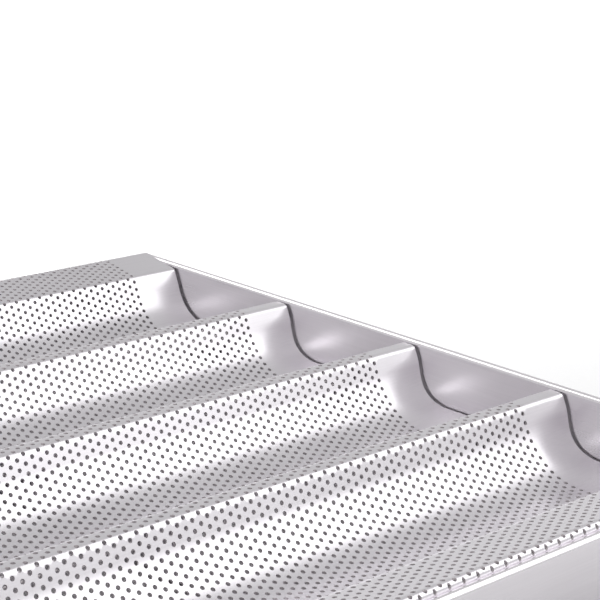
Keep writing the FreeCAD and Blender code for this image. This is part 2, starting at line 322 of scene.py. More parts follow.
@dataclass(frozen=True)
class RolledAluminium:
    """Bare aluminium sheet with fine rolling lines, satin sheen and soft handling marks."""

    name: str
    grain: Grain
    dark: Colour = (0.80, 0.775, 0.81)
    light: Colour = (0.89, 0.865, 0.90)
    roughness: float = 0.32
    smoothest: float = 0.12
    roughest: float = 0.8
    line_depth: float = 0.0000022
    line_strength: float = 0.6
    # Above this height a painted highlight, broken up by scratch noise, lightens the tone (0 leaves none);
    # the rub there also changes the gloss.
    scuffed_highlit_above: float = 0.0
    scuff_highlight_rise: float = 900.0
    lines: Texture = Texture(14.0, 1500.0, 3.0, 0.6)
    fine_lines: Texture = Texture(60.0, 5200.0, 2.0, 0.5)
    clouds: Texture = Texture(11.0, 11.0, 2.0, 0.5)
    marks: Texture = Texture(90.0, 650.0, 4.0, 0.7)
    scratches: Texture = Texture(25.0, 900.0, 4.0, 0.75)

    def material(self) -> bpy.types.Material:
        """Builds the finish's material: tone and gloss follow the lines, clouds and marks, and above a set
        height a painted highlight lightens the tone.
        """
        shader = Shader(self.name)
        lines = shader.noise(self.lines, self.grain)
        fine = shader.noise(self.fine_lines, self.grain)
        clouds = shader.noise(self.clouds, self.grain)
        marks = shader.between(shader.noise(self.marks, self.grain), 0.62, 0.78)
        tone = lines * 0.45 + clouds * 0.55
        gloss = self.roughness + (clouds - 0.5) * 0.10 + (lines - 0.5) * 0.07 + marks * 0.05
        if self.scuffed_highlit_above:
            # Painted highlight on the top: the tone is lightened where scratches lie, together with a real
            # change of gloss from rubbing.
            rubbed_highlit = ((shader.height() - self.scuffed_highlit_above) * self.scuff_highlight_rise).at_least(0.0).at_most(1.0)
            scratches = shader.between(shader.noise(self.scratches, self.grain), 0.45, 0.72)
            gloss = gloss - rubbed_highlit * 0.06 + rubbed_highlit * scratches * 0.08
            tone = tone + rubbed_highlit * scratches * 0.25
        relief = lines * 0.5 + fine * 0.35 + marks * 0.3
        return shader.cover({
            "Base Color": shader.blend(shader.between(tone, 0.30, 0.70), self.dark, self.light),
            "Roughness": gloss.at_least(self.smoothest).at_most(self.roughest),
            "Normal": shader.bump(relief, self.line_depth, self.line_strength),
            "Metallic": 1.0,
        })


@dataclass(frozen=True)
class PunchedEdge:
    """Wall of a punched hole: sheared metal, matt and darker, with upright score lines."""

    name: str
    dark: Colour = (0.62, 0.585, 0.60)
    light: Colour = (0.86, 0.82, 0.84)
    roughness: float = 0.50
    metallic: float = 0.60
    score_depth: float = 0.00001
    scores: Texture = Texture(500.0, 2600.0, 3.0, 0.6)
    clouds: Texture = Texture(140.0, 140.0, 2.0, 0.5)

    def material(self) -> bpy.types.Material:
        """Builds the finish's material: the score lines change tone, gloss and relief."""
        shader = Shader(self.name)
        scores = shader.noise(self.scores, Grain.UPRIGHT)
        clouds = shader.noise(self.clouds, Grain.UPRIGHT)
        tone = shader.between(scores * 0.6 + clouds * 0.4, 0.35, 0.65)
        return shader.cover({
            "Base Color": shader.blend(tone, self.dark, self.light),
            "Roughness": self.roughness + (scores - 0.5) * 0.3,
            "Normal": shader.bump(scores, self.score_depth, 0.5),
            "Metallic": self.metallic,
        })


@dataclass(frozen=True)
class DrawnRivet:
    """Head of a drawn aluminium rivet: brighter, with tiny pits and tumbling marks."""

    name: str
    dark: Colour = (0.74, 0.71, 0.74)
    light: Colour = (0.92, 0.89, 0.92)
    roughness: float = 0.24
    pit_depth: float = 0.00002
    tumbling: Texture = Texture(900.0, 900.0, 4.0, 0.65)
    pits: Texture = Texture(2400.0, 2400.0, 2.0, 0.5)

    def material(self) -> bpy.types.Material:
        """Builds the finish's material: pits roughen the tumbled surface and sink into it."""
        shader = Shader(self.name)
        tumbled = shader.noise(self.tumbling, Grain.UPRIGHT)
        pits = shader.between(shader.noise(self.pits, Grain.UPRIGHT), 0.66, 0.76)
        return shader.cover({
            "Base Color": shader.blend(shader.between(tumbled, 0.35, 0.65), self.dark, self.light),
            "Roughness": self.roughness + tumbled * 0.16 + pits * 0.2,
            "Normal": shader.bump(tumbled - pits, self.pit_depth, 0.5),
            "Metallic": 1.0,
        })


@dataclass(frozen=True)
class FloorPaper:
    """Matt pale paper with a faint mottle of fibres."""

    name: str
    dark: Colour = (0.93, 0.93, 0.935)
    light: Colour = (0.96, 0.96, 0.965)
    roughness: float = 0.9
    specular: float = 0.1
    fibres: Texture = Texture(300.0, 300.0, 2.0, 0.5)

    def material(self) -> bpy.types.Material:
        """Builds the finish's material."""
        shader = Shader(self.name)
        tone = shader.blend(shader.noise(self.fibres, Grain.UPRIGHT), self.dark, self.light)
        return shader.cover({"Base Color": tone, "Roughness": self.roughness,
                             "Specular IOR Level": self.specular})


# ---------------------------------------------------------------- section of the trough sheet


@dataclass(frozen=True)
class SheetSection:
    """Cross-section of the trough sheet, walked along its upper face from front to back.

    Lengths are in millimetres and angles in degrees. They repeat the sizes of the CAD model.
    """

    side_inner: float = millimetres(SHEET_HIGH.y)
    underside: float = millimetres(SHEET_LOW.z)
    thickness: float = 1.0
    flange_depth: float = 14.0
    edge_radius: float = 2.2
    land_width: float = 23.6
    land_angle: float = 9.4
    shoulder_radius: float = 2.9
    wall_angle: float = 65.0
    wall_run: float = 7.3
    bottom_flat: float = 13.2
    ridge_top: float = 4.0
    trough_count: int = 4

    @property
    def wall(self) -> float:
        """Slope of a trough wall, in radians."""
        return math.radians(self.wall_angle)

    @property
    def land(self) -> float:
        """Slope of a land, in radians."""
        return math.radians(self.land_angle)

    @property
    def pitch(self) -> float:
        """Distance between the middles of two troughs."""
        return (2.0 * (self.side_inner - self.land_width) + self.ridge_top) / self.trough_count

    @property
    def bottom_radius(self) -> float:
        """Radius of a trough's rounded sides, on the upper face."""
        half = (self.pitch - self.ridge_top - self.bottom_flat) / 2.0 - self.wall_run * math.cos(self.wall)
        return half / math.sin(self.wall) - self.shoulder_radius

    @property
    def land_run(self) -> float:
        """Level distance across a land's flat part."""
        bends = (self.shoulder_radius - self.edge_radius) * math.sin(self.land)
        return self.land_width - self.edge_radius + bends

    @property
    def trough_length(self) -> float:
        """Developed length from the middle of one trough to the next."""
        turns = self.bottom_radius + self.shoulder_radius
        return self.bottom_flat + self.ridge_top + 2.0 * (turns * self.wall + self.wall_run)

    def stretches(self) -> list[tuple[float, float]]:
        """Walks the section.

        Returns:
            Length and turn in radians of each stretch, from front to back.
        """
        shoulder = self.shoulder_radius
        flange = [(self.flange_depth, 0.0)]
        edge = [(self.edge_radius * (math.pi / 2.0 + self.land), -math.pi / 2.0 - self.land)]
        land = [(self.land_run / math.cos(self.land), 0.0)]
        fall = [(shoulder * (self.wall - self.land), self.land - self.wall)]
        bend = [(shoulder * self.wall, -self.wall)]
        side = [(self.wall_run, 0.0), (self.bottom_radius * self.wall, self.wall)]
        trough = side + [(self.bottom_flat, 0.0)] + side[::-1]
        ridge = bend + [(self.ridge_top, 0.0)] + bend
        troughs = trough + (ridge + trough) * (self.trough_count - 1)
        return flange + edge + land + fall + troughs + fall + land + edge + flange

    def start_height(self) -> float:
        """Works out where the walk begins.

        Returns:
            Height of the lower edge of the front flange.
        """
        depth = (self.bottom_radius + self.shoulder_radius) * (1.0 - math.cos(self.wall))
        ridge = self.underside + self.thickness + depth + self.wall_run * math.sin(self.wall)
        rise = self.land_run * math.tan(self.land)
        bend = ridge - self.shoulder_radius * (1.0 - math.cos(self.land)) + rise
        return bend - self.edge_radius * math.cos(self.land) - self.flange_depth


class DevelopedSheet:
    """Maps developed length across the sheet to places and directions of its section."""

    STRAIGHT = 1e-9

    def __init__(self, section: SheetSection) -> None:
        """Walks the section once.

        Args:
            section: Sizes of the section.
        """
        self.section = section
        knots = [(0.0, -section.side_inner, section.start_height(), math.pi / 2.0, 0.0)]
        for length, turn in section.stretches():
            s, y, z, heading, _ = knots[-1]
            curve = turn / length
            knots[-1] = (s, y, z, heading, curve)
            y, z, heading = self._step(y, z, heading, curve, length)
            knots.append((s + length, y, z, heading, 0.0))
        self.knots = np.array(knots)
        self.length = float(self.knots[-1, 0])

    def _step(self, y: np.ndarray, z: np.ndarray, heading: np.ndarray, curve: np.ndarray,
              length: np.ndarray) -> tuple[np.ndarray, np.ndarray, np.ndarray]:
        """Moves along an arc or a straight run.

        Args:
            y: Place across the tray.
            z: Height.
            heading: Direction, in radians from level.
            curve: Turn per millimetre, 0 on a straight run.
            length: Distance to move.

        Returns:
            Place, height and direction after the move.
        """
        bent = np.abs(curve) > self.STRAIGHT
        safe = np.where(bent, curve, 1.0)
        turned = heading + curve * length
        dy = np.where(bent, (np.sin(turned) - np.sin(heading)) / safe, np.cos(heading) * length)
        dz = np.where(bent, (np.cos(heading) - np.cos(turned)) / safe, np.sin(heading) * length)
        return y + dy, z + dz, turned

    def at(self, s: np.ndarray) -> tuple[np.ndarray, np.ndarray]:
        """Places of the upper face and their unit normals.

        Args:
            s: Developed lengths from the front edge, in millimetres.

        Returns:
            Two arrays of Y and Z: places in millimetres, and normals.
        """
        s = np.asarray(s, float)
        index = np.clip(np.searchsorted(self.knots[:, 0], s, side="right") - 1, 0, len(self.knots) - 2)
        start, y, z, heading, curve = np.moveaxis(self.knots[index], -1, 0)
        y, z, heading = self._step(y, z, heading, curve, s - start)
        return np.stack([y, z], -1), np.stack([-np.sin(heading), np.cos(heading)], -1)

    def refined(self, values: Iterable[float], largest: float) -> np.ndarray:
        """Adds stops inside bends so that each turn is rounded.

        Args:
            values: Developed places to keep.
            largest: Largest turn between two stops, in radians.

        Returns:
            Sorted places.
        """
        rows = zip(self.knots[:-1], self.knots[1:])
        bends = [(a[0], b[0], abs(a[4])) for a, b in rows if abs(a[4]) > self.STRAIGHT]
        stops = sorted(set(np.round(list(values), 6)))
        kept = [stops[0]]
        for low, high in zip(stops, stops[1:]):
            turns = [(min(high, end) - max(low, start)) * curve for start, end, curve in bends]
            parts = max(1, math.ceil(max(turns) / largest))
            kept += list(np.linspace(low, high, parts + 1)[1:])
        return np.array(kept)


@dataclass(frozen=True)
class Perforation:
    """Staggered round holes of the trough sheet, in millimetres of developed length."""

    column_step: float = 3.4641
    rows_per_trough: int = 56
    hole: float = 1.96
    bend_hole_width: float = 1.60
    bend_hole_length: float = 2.5
    bend_hole_rise: float = 0.5
    first_row: float = 1.393
    outer_column: int = 77
    rows_before: int = 40
    rows_after: int = 39

    @property
    def half_field(self) -> float:
        """X of the perforated field's end."""
        return (self.outer_column + 0.5) * self.column_step


def smooth(share: np.ndarray) -> np.ndarray:
    """Eases from 0 to 1 as the share does."""
    share = np.clip(share, 0.0, 1.0)
    return share * share * (3.0 - 2.0 * share)


@dataclass(frozen=True)
class EndForm:
    """How the plain ends of the troughs are pressed squarer: a knee in each side, a lifted floor.

    Lengths are in millimetres, and places are developed lengths from the middle of a trough.
    """

    knee: float = 31.0
    spread: float = 16.0
    push: float = 3.0
    lift: float = 2.2
    lift_from: float = 8.0
    lift_to: float = 22.0
    outer_share: float = 0.35

    def shift(self, away: np.ndarray, outer: np.ndarray) -> np.ndarray:
        """Movement along the upper face's normal at the very end of the sheet.

        Args:
            away: Developed distance from the middle of the trough.
            outer: True on the sides that face the frame, where the brackets leave less room.

        Returns:
            Movement, positive upwards.
        """
        bump = np.cos(np.clip((away - self.knee) / self.spread, -1.0, 1.0) * math.pi / 2.0) ** 2
        share = smooth((away - self.lift_from) / (self.lift_to - self.lift_from))
        return self.lift * (1.0 - share) - self.push * bump * np.where(outer, self.outer_share, 1.0)


# ---------------------------------------------------------------- meshes of the trough sheet


class Faces:
    """Growing lists of vertices, faces, normals and map places of one mesh."""

    def __init__(self) -> None:
        """Starts with nothing."""
        self.points: list[np.ndarray] = []
        self.count = 0
        self.groups: list[tuple[np.ndarray, np.ndarray, np.ndarray, int]] = []

    def add_points(self, points: np.ndarray) -> np.ndarray:
        """Adds vertices.

        Args:
            points: Places, with X, Y and Z last.

        Returns:
            Their indices, in the shape of the places.
        """
        flat = points.reshape(-1, 3)
        self.points.append(flat)
        indices = np.arange(self.count, self.count + len(flat)).reshape(points.shape[:-1])
        self.count += len(flat)
        return indices

    def add_faces(self, corners: np.ndarray, normals: np.ndarray, places: np.ndarray, slot: int) -> None:
        """Adds faces with the same number of corners.

        Args:
            corners: Vertex indices, one row per face.
            normals: Unit normal of each corner.
            places: Map place of each corner.
            slot: Material slot.
        """
        self.groups.append((corners, normals, places, slot))

    def mesh(self, name: str) -> bpy.types.Mesh:
        """Builds the mesh.

        Args:
            name: Name of the mesh.

        Returns:
            Mesh with smooth faces, its own corner normals and one map.
        """
        mesh = bpy.data.meshes.new(name)
        points = np.concatenate(self.points)
        mesh.vertices.add(len(points))
        mesh.vertices.foreach_set("co", (points * MM).astype(np.float32).ravel())
        totals = np.concatenate([np.full(len(c), c.shape[1]) for c, _, _, _ in self.groups])
        corners = np.concatenate([c.ravel() for c, _, _, _ in self.groups])
        mesh.loops.add(len(corners))
        mesh.loops.foreach_set("vertex_index", corners.astype(np.int32))
        mesh.polygons.add(len(totals))
        starts = np.concatenate([[0], np.cumsum(totals)[:-1]])
        mesh.polygons.foreach_set("loop_start", starts.astype(np.int32))
        mesh.polygons.foreach_set("use_smooth", np.ones(len(totals), bool))
        slots = np.concatenate([np.full(len(c), slot) for c, _, _, slot in self.groups])
        mesh.polygons.foreach_set("material_index", slots.astype(np.int32))
        layer = mesh.uv_layers.new(name="OFBake")
        places = np.concatenate([p.reshape(-1, 2) for _, _, p, _ in self.groups])
        mesh.update(calc_edges=True)
        layer.data.foreach_set("uv", places.astype(np.float32).ravel())
        mesh.validate()
        normals = np.concatenate([n.reshape(-1, 3) for _, n, _, _ in self.groups])
        mesh.normals_split_custom_set(normals.tolist())
        mesh.update()
        return mesh


class Lane(Enum):
    """Where the sheet's narrow edges lie in a band's map."""

    FRONT = 0.950
    BACK = 0.960
    MARGIN_BACK = 0.970
    MARGIN_FRONT = 0.974
    END = 0.980
    LEFT = 0.990
    RIGHT = 0.993


@dataclass(frozen=True)
class SheetMap:
    """Shares of a band's map: its two faces side by side, and lanes for the narrow edges."""

    border: float = 0.02
    face_width: float = 0.44
    face_step: float = 0.5
    face_height: float = 0.96
    lane_width: float = 0.002
    lane_border: float = 0.01
    end_width: float = 0.003
    end_step: float = 0.004
    hole_foot: float = 0.55

    def face(self, across: np.ndarray, along: np.ndarray, face: int) -> np.ndarray:
        """Map places on the upper face (0) or the lower face (1), from shares of the band."""
        u = self.border + self.face_step * face + self.face_width * across
        return np.stack([u, self.border + self.face_height * along], -1)

    @staticmethod
    def strip(low: float, high: float, along: np.ndarray) -> np.ndarray:
        """Map places of a row of quads.

        Args:
            low: One side of the strip in the map.
            high: Its other side.
            along: Places of the quads' ends.

        Returns:
            Four places for each quad: low and high at its start, high and low at its end.
        """
        lows, highs = np.full(len(along) - 1, low), np.full(len(along) - 1, high)
        corners = ((lows, along[:-1]), (highs, along[:-1]), (highs, along[1:]), (lows, along[1:]))
        return np.stack([np.stack(corner, -1) for corner in corners], 1)

    def lane(self, lane: Lane, count: int) -> np.ndarray:
        """Map places of an edge's quads, turned as the edge strips are."""
        along = np.linspace(self.lane_border, 1.0 - self.lane_border, count + 1)
        return self.strip(lane.value, lane.value + self.lane_width, along)[:, (2, 1, 0, 3)]

    def patch(self) -> np.ndarray:
        """Map places of the small patch that closes a corner of the sheet's end."""
        low = np.array([Lane.LEFT.value, self.lane_border])
        return low + self.lane_width * np.array([(0.0, 0.0), (1.0, 0.0), (1.0, 1.0), (0.0, 1.0)])


@dataclass(frozen=True)
class TroughSheet:
    """The perforated sheet, built as bands side by side along the tray. Lengths in millimetres."""

    developed: DevelopedSheet
    perforation: Perforation = Perforation()
    end_form: EndForm = EndForm()
    layout: SheetMap = SheetMap()
    sheet_half: float = millimetres(SHEET_HIGH.x)
    bands: int = 5
    edge: float = 0.18
    edge_tilt: float = 0.25
    margin_start: float = 0.8
    margin_lines: int = 13
    plain_turn: float = 0.28
    margin_turn: float = 0.04
    normal_step: float = 0.05

    @property
    def first(self) -> int:
        """Number of the front row of holes."""
        return -self.perforation.rows_before

    @property
    def last(self) -> int:
        """Number of the back row of holes."""
        inner = (self.developed.section.trough_count - 1) * self.perforation.rows_per_trough
        return inner + self.perforation.rows_after

    def row(self, number: np.ndarray | int) -> np.ndarray:
        """Developed place of rows.

        Args:
            number: Row or rows, counted from the middle of the front trough.

        Returns:
            Developed length from the sheet's front edge.
        """
        section = self.developed.section
        pitch = section.trough_length
        middle = self.developed.length / 2.0 - (section.trough_count - 1) / 2.0 * pitch
        step = pitch / self.perforation.rows_per_trough
        return middle + self.perforation.first_row + np.asarray(number, float) * step

    def surface(self, x: np.ndarray, s: np.ndarray, depth: Number) -> tuple[np.ndarray, np.ndarray]:
        """Places and outward normals of the upper face, or of a depth below it.

        Args:
            x: Places along the tray, in millimetres.
            s: Developed places across it.
            depth: Distance under the upper face.

        Returns:
            Places, and normals of the upper face.
        """
        x, s = np.broadcast_arrays(np.asarray(x, float), s)
        points, normals = self._formed(x, s)
        step = self.normal_step
        along = self._formed(x, s + step)[0] - self._formed(x, s - step)[0]
        across = self._formed(x + step, s)[0] - self._formed(x - step, s)[0]
        tilted = np.cross(across, along)
        tilted /= np.linalg.norm(tilted, axis=-1, keepdims=True)
        normals = np.where(self._pressed(x)[..., None] > 0.0, tilted, normals)
        return points - normals * depth, normals

    def _pressed(self, x: np.ndarray) -> np.ndarray:
        """Share of the end form at a place along the tray."""
        margin = self.perforation.half_field
        return smooth((np.abs(x) - margin) / (self.sheet_half - margin))

    def _formed(self, x: np.ndarray, s: np.ndarray) -> tuple[np.ndarray, np.ndarray]:
        """Shapes the upper face.

        Args:
            x: Places along the tray.
            s: Developed places across it.

        Returns:
            Places with the pressed ends, and normals of the regular section.
        """
        place, normal = self.developed.at(s)
        pitch, count = self.developed.section.trough_length, self.developed.section.trough_count
        from_middle = (s - self.developed.length / 2.0) / pitch + (count - 1) / 2.0
        trough = np.clip(np.round(from_middle), 0, count - 1)
        beside = (from_middle - trough) * pitch
        outer = ((trough == 0) & (beside < 0.0)) | ((trough == count - 1) & (beside > 0.0))
        shift = self._pressed(x) * self.end_form.shift(np.abs(beside), outer)
        place = place + normal * shift[..., None]
        zero = np.zeros_like(x)[..., None]
        return np.concatenate([x[..., None], place], -1), np.concatenate([zero, normal], -1)


@dataclass
class Band:
    """Builds the closed mesh of one band of the trough sheet; bands count from 0 on the left."""

    sheet: TroughSheet
    number: int
    faces: Faces = field(default_factory=Faces)

    SIDES = 8
    # Faces between a hole and its cell: two corners of the cell, then points of the hole's ring
    CELL_FACES = (
        (((1, 0), (1, 1)), (1, 0)),
        (((1, 1), (0, 1)), (3, 2, 1)),
        (((0, 1), (0, 0)), (4, 3)),
        (((0, 0), (0, -1)), (5, 4)),
        (((0, -1), (1, -1)), (7, 6, 5)),
        (((1, -1), (1, 0)), (0, 7)),
    )

    def __post_init__(self) -> None:
        """Works out the band's columns of holes and its plain strips."""
        sheet, pattern = self.sheet, self.sheet.perforation
        outer = pattern.outer_column
        limits = np.round(np.linspace(-outer, outer + 1, sheet.bands + 1)).astype(int)
        self.columns = np.arange(limits[self.number], limits[self.number + 1])
        self.lines = (np.append(self.columns, self.columns[-1] + 1) - 0.5) * pattern.column_step
        self.left_end = self.number == 0
        self.right_end = self.number == sheet.bands - 1
        self.x_low = -sheet.sheet_half if self.left_end else self.lines[0]
        self.x_high = sheet.sheet_half if self.right_end else self.lines[-1]
        self.section = sheet.developed.section
        self.rows = np.arange(sheet.first - 1, sheet.last + 2)
        total, flange = sheet.developed.length, self.section.flange_depth
        self.front = self._stops(0.0, flange, sheet.row(self.rows[0]))
        self.back = self._stops(sheet.row(self.rows[-1]), total - flange, total)

    def _stops(self, low: float, bend: float, high: float) -> np.ndarray:
        """Splits a plain strip between the holes and the edge of a flange.

        Args:
            low: Developed place of its front side.
            bend: Place where the flange starts to bend, which may lie outside the strip.
            high: Developed place of its back side.

        Returns:
            Developed places of the strip's vertices.
        """
        values = [low, bend, high] if low < bend < high else [low, high]
        return self.sheet.developed.refined(values, self.sheet.plain_turn)

    def _place(self, x: np.ndarray, s: np.ndarray, face: int) -> np.ndarray:
        """Map places of points of a face.

        Args:
            x: Places along the tray.
            s: Developed places.
            face: 0 for the upper face and 1 for the lower one.

        Returns:
            Map places.
        """
        across = (x - self.x_low) / (self.x_high - self.x_low)
        return self.sheet.layout.face(*np.broadcast_arrays(across, s / self.sheet.developed.length), face)

    def _grid(self, x: np.ndarray, s: np.ndarray) -> tuple[np.ndarray, np.ndarray]:
        """Adds the vertices of both faces on a grid.

        Args:
            x: Places along the tray.
            s: Developed places.

        Returns:
            Indices of the upper and of the lower vertices, X first.
        """
        grid = np.meshgrid(x, s, indexing="ij")
        upper, _ = self.sheet.surface(grid[0], grid[1], 0.0)
        lower, _ = self.sheet.surface(grid[0], grid[1], self.section.thickness)
        return self.faces.add_points(upper), self.faces.add_points(lower)

    def _skin(self, corners: tuple[np.ndarray, np.ndarray], x: np.ndarray, s: np.ndarray) -> None:
        """Adds matching faces to the upper and the lower side.

        Args:
            corners: Upper and lower vertex indices, one row per face, turning left seen from above.
            x: Place along the tray of each corner.
            s: Developed place of each corner.
        """
        _, normals = self.sheet.surface(x, s, 0.0)
        upper, lower = corners
        self.faces.add_faces(upper, normals, self._place(x, s, 0), 0)
        flipped = slice(None, None, -1)
        self.faces.add_faces(lower[:, flipped], -normals[:, flipped], self._place(x, s, 1)[:, flipped], 0)

    def _quads(self, upper: np.ndarray, lower: np.ndarray, x: np.ndarray, s: np.ndarray) -> None:
        """Covers a grid of vertices with quads on both sides.

        Args:
            upper: Upper vertex indices, X first.
            lower: Lower vertex indices.
            x: Places along the tray.
            s: Developed places.
        """
        xs, ss = np.meshgrid(x, s, indexing="ij")
        lines, stops = upper.shape

        def pick(values: np.ndarray) -> np.ndarray:
            """Values at the four corners of every cell."""
            around = ((0, 0), (1, 0), (1, 1), (0, 1))
            return np.stack([values[i:lines - 1 + i, j:stops - 1 + j].ravel() for i, j in around], -1)

        self._skin((pick(upper), pick(lower)), pick(xs), pick(ss))

    def _edge(self, upper: np.ndarray, lower: np.ndarray, normal: Triple, lane: Lane) -> None:
        """Closes the sheet between a line of upper vertices and the line under it.

        Args:
            upper: Upper vertex indices along the edge, turning left round the sheet.
            lower: Lower vertex indices.
            normal: Outward normal.
            lane: Where the edge lies in the map.
        """
        corners = np.stack([upper[1:], upper[:-1], lower[:-1], lower[1:]], -1)
        normals = np.broadcast_to(np.array(normal), (*corners.shape, 3))
        self.faces.add_faces(corners, normals, self.sheet.layout.lane(lane, len(upper) - 1), 0)

    def _holes(self, upper: np.ndarray, lower: np.ndarray) -> None:
        """Covers the perforated field with cells that each hold a hole.

        Args:
            upper: Upper vertex indices on the field's grid, X first.
            lower: Lower vertex indices.
        """
        sheet, pattern = self.sheet, self.sheet.perforation
        cells = [(i, j) for i, c in enumerate(self.columns) for j in range(sheet.first, sheet.last + 1)
                 if (c - j) % 2]
        column, row = np.array(cells).T
        rank = row - self.rows[0]
        inward = 1.0 * (row == sheet.first) - 1.0 * (row == sheet.last)
        on_bend = (inward != 0.0)[:, None]
        centre_x = (self.columns[column] * pattern.column_step)[:, None]
        centre_s = (sheet.row(row) + inward * pattern.bend_hole_rise)[:, None]
        angles = np.arange(self.SIDES) * 2.0 * math.pi / self.SIDES
        away_x = np.cos(angles) * np.where(on_bend, pattern.bend_hole_width, pattern.hole) / 2.0
        away_s = np.sin(angles) * np.where(on_bend, pattern.bend_hole_length, pattern.hole) / 2.0
        ring_x, ring_s = centre_x + away_x, centre_s + away_s
        top, normals = sheet.surface(ring_x, ring_s, 0.0)
        under, _ = sheet.surface(ring_x, ring_s, self.section.thickness)
        rim, foot = self.faces.add_points(top), self.faces.add_points(under)

        line_x = np.broadcast_to(self.lines[:, None], upper.shape)
        line_s = np.broadcast_to(sheet.row(self.rows)[None, :], upper.shape)
        for outer, ring in self.CELL_FACES:
            picks = [(column + i, rank + j) for i, j in outer]

            def around(grid: np.ndarray, circle: np.ndarray) -> np.ndarray:
                """Corner values of one face of every cell, first the cell's and then the hole's."""
                return np.stack([grid[p] for p in picks] + [circle[:, k] for k in ring], -1)

            corners = around(upper, rim), around(lower, foot)
            self._skin(corners, around(line_x, ring_x), around(line_s, ring_s))

        heading = np.stack([np.zeros_like(ring_x), normals[..., 2], -normals[..., 1]], -1)
        facing = -np.cos(angles)[:, None] * np.array([1.0, 0.0, 0.0]) - np.sin(angles)[:, None] * heading
        share = sheet.layout.hole_foot
        rim_map = self._place(ring_x, ring_s, 0)
        foot_map = self._place(centre_x + away_x * share, centre_s + away_s * share, 0)
        after = np.roll(np.arange(self.SIDES), -1)
        corners = np.stack([rim, rim[:, after], foot[:, after], foot], -1)
        turned = np.stack([facing, facing[:, after], facing[:, after], facing], 2)
        places = np.stack([rim_map, rim_map[:, after], foot_map[:, after], foot_map], 2)
        self.faces.add_faces(corners.reshape(-1, 4), turned.reshape(-1, 4, 3), places.reshape(-1, 4, 2), 1)

    def _plain_cells(self, upper: np.ndarray, lower: np.ndarray) -> None:
        """Covers the half cells that the staggered holes leave at the field's front and back.

        Args:
            upper: Upper vertex indices on the field's grid, X first.
            lower: Lower vertex indices.
        """
        cells = [(i, j) for i in range(len(self.columns)) for j in (self.rows[0], self.rows[-1] - 1)
                 if not self._covered(i, j)]
        if not cells:
            return
        i, j = np.array(cells).T
        j = j - self.rows[0]
        picks = ((i, j), (i + 1, j), (i + 1, j + 1), (i, j + 1))
        line_s = self.sheet.row(self.rows)
        corners = tuple(np.stack([grid[p] for p in picks], -1) for grid in (upper, lower))
        x = np.stack([self.lines[p[0]] for p in picks], -1)
        self._skin(corners, x, np.stack([line_s[p[1]] for p in picks], -1))

    def _covered(self, i: int, j: int) -> bool:
        """Tells whether a hole's cell covers the space between two rows.

        Args:
            i: Index of the column in the band.
            j: Row in front of the space.

        Returns:
            True if a hole lies in that row or the next one.
        """
        column = self.columns[i]
        return any((column - r) % 2 and self.sheet.first <= r <= self.sheet.last for r in (j, j + 1))

    def _margin(self, upper: np.ndarray, lower: np.ndarray, line: float, stops: np.ndarray,
                side: int) -> None:
        """Adds the plain margin at one end of the sheet, with a rounded end edge.

        Args:
            upper: Upper vertex indices along the perforated field's last line.
            lower: Lower vertex indices.
            line: X of that line.
            stops: Developed places of those vertices.
            side: -1 at the left end and 1 at the right end.
        """
        sheet = self.sheet
        fine = sheet.developed.refined(stops, sheet.margin_turn)
        start, end = line + side * sheet.margin_start, side * (sheet.sheet_half - sheet.edge)
        x = np.linspace(start, end, sheet.margin_lines)
        top, under = self._grid(x, fine)
        turn = slice(None, None, side)
        self._quads(top[turn], under[turn], x[turn], fine)
        spots = np.searchsorted(fine, stops - 1e-5)
        for k in range(len(stops) - 1):
            span = np.arange(spots[k], spots[k + 1] + 1)
            chain_x = np.concatenate([[line, line], np.full(len(span), start)])
            chain_s = np.concatenate([[stops[k + 1], stops[k]], fine[span]])
            faces = [np.concatenate([[near[k + 1], near[k]], far[0][span]]) for near, far in
                     ((upper, top), (lower, under))]
            self._skin(tuple(f[turn][None] for f in faces), chain_x[turn][None], chain_s[turn][None])
        self._end_edge(top[-1], under[-1], fine, side)
        for rim, order, lane in ((0, side, Lane.MARGIN_FRONT), (-1, -side, Lane.MARGIN_BACK)):
            row_up = np.concatenate([[upper[rim]], top[:, rim]])[::order]
            row_low = np.concatenate([[lower[rim]], under[:, rim]])[::order]
            self._edge(row_up, row_low, (0.0, 0.0, -1.0), lane)

    def _end_edge(self, top: np.ndarray, under: np.ndarray, s: np.ndarray, side: int) -> None:
        """Rounds the sheet's end from the upper to the lower face.

        Args:
            top: Upper vertex indices along the end.
            under: Lower vertex indices.
            s: Developed places of those vertices.
            side: -1 at the left end and 1 at the right end.
        """
        sheet, layout = self.sheet, self.sheet.layout
        line = np.full(len(s), side * sheet.sheet_half)
        _, up = sheet.surface(line, s, 0.0)
        rows, normals = [top], [up]
        rounds = ((sheet.edge, sheet.edge_tilt), (self.section.thickness - sheet.edge, -sheet.edge_tilt))
        for depth, tilt in rounds:
            points, _ = sheet.surface(line, s, depth)
            rows.append(self.faces.add_points(points))
            lean = np.array([float(side), 0.0, 0.0]) + up * tilt
            normals.append(lean / np.linalg.norm(lean, axis=-1, keepdims=True))
        rows.append(under)
        normals.append(-up)
        order = slice(None, None, side)
        along = layout.border + layout.face_height * s[order] / sheet.developed.length
        for k in range(len(rows) - 1):
            a, b, na, nb = rows[k][order], rows[k + 1][order], normals[k][order], normals[k + 1][order]
            corners = np.stack([a[:-1], b[:-1], b[1:], a[1:]], -1)
            turned = np.stack([na[:-1], nb[:-1], nb[1:], na[1:]], 1)
            low = Lane.END.value + layout.end_step * k
            self.faces.add_faces(corners, turned, layout.strip(low, low + layout.end_width, along), 0)
        for rim, turn in ((0, side), (-1, -side)):
            corners = np.array([rows[0][rim], rows[3][rim], rows[2][rim], rows[1][rim]])[::turn]
            down = np.full((1, 4, 3), (0.0, 0.0, -1.0))
            self.faces.add_faces(corners[None], down, layout.patch()[::turn][None], 0)

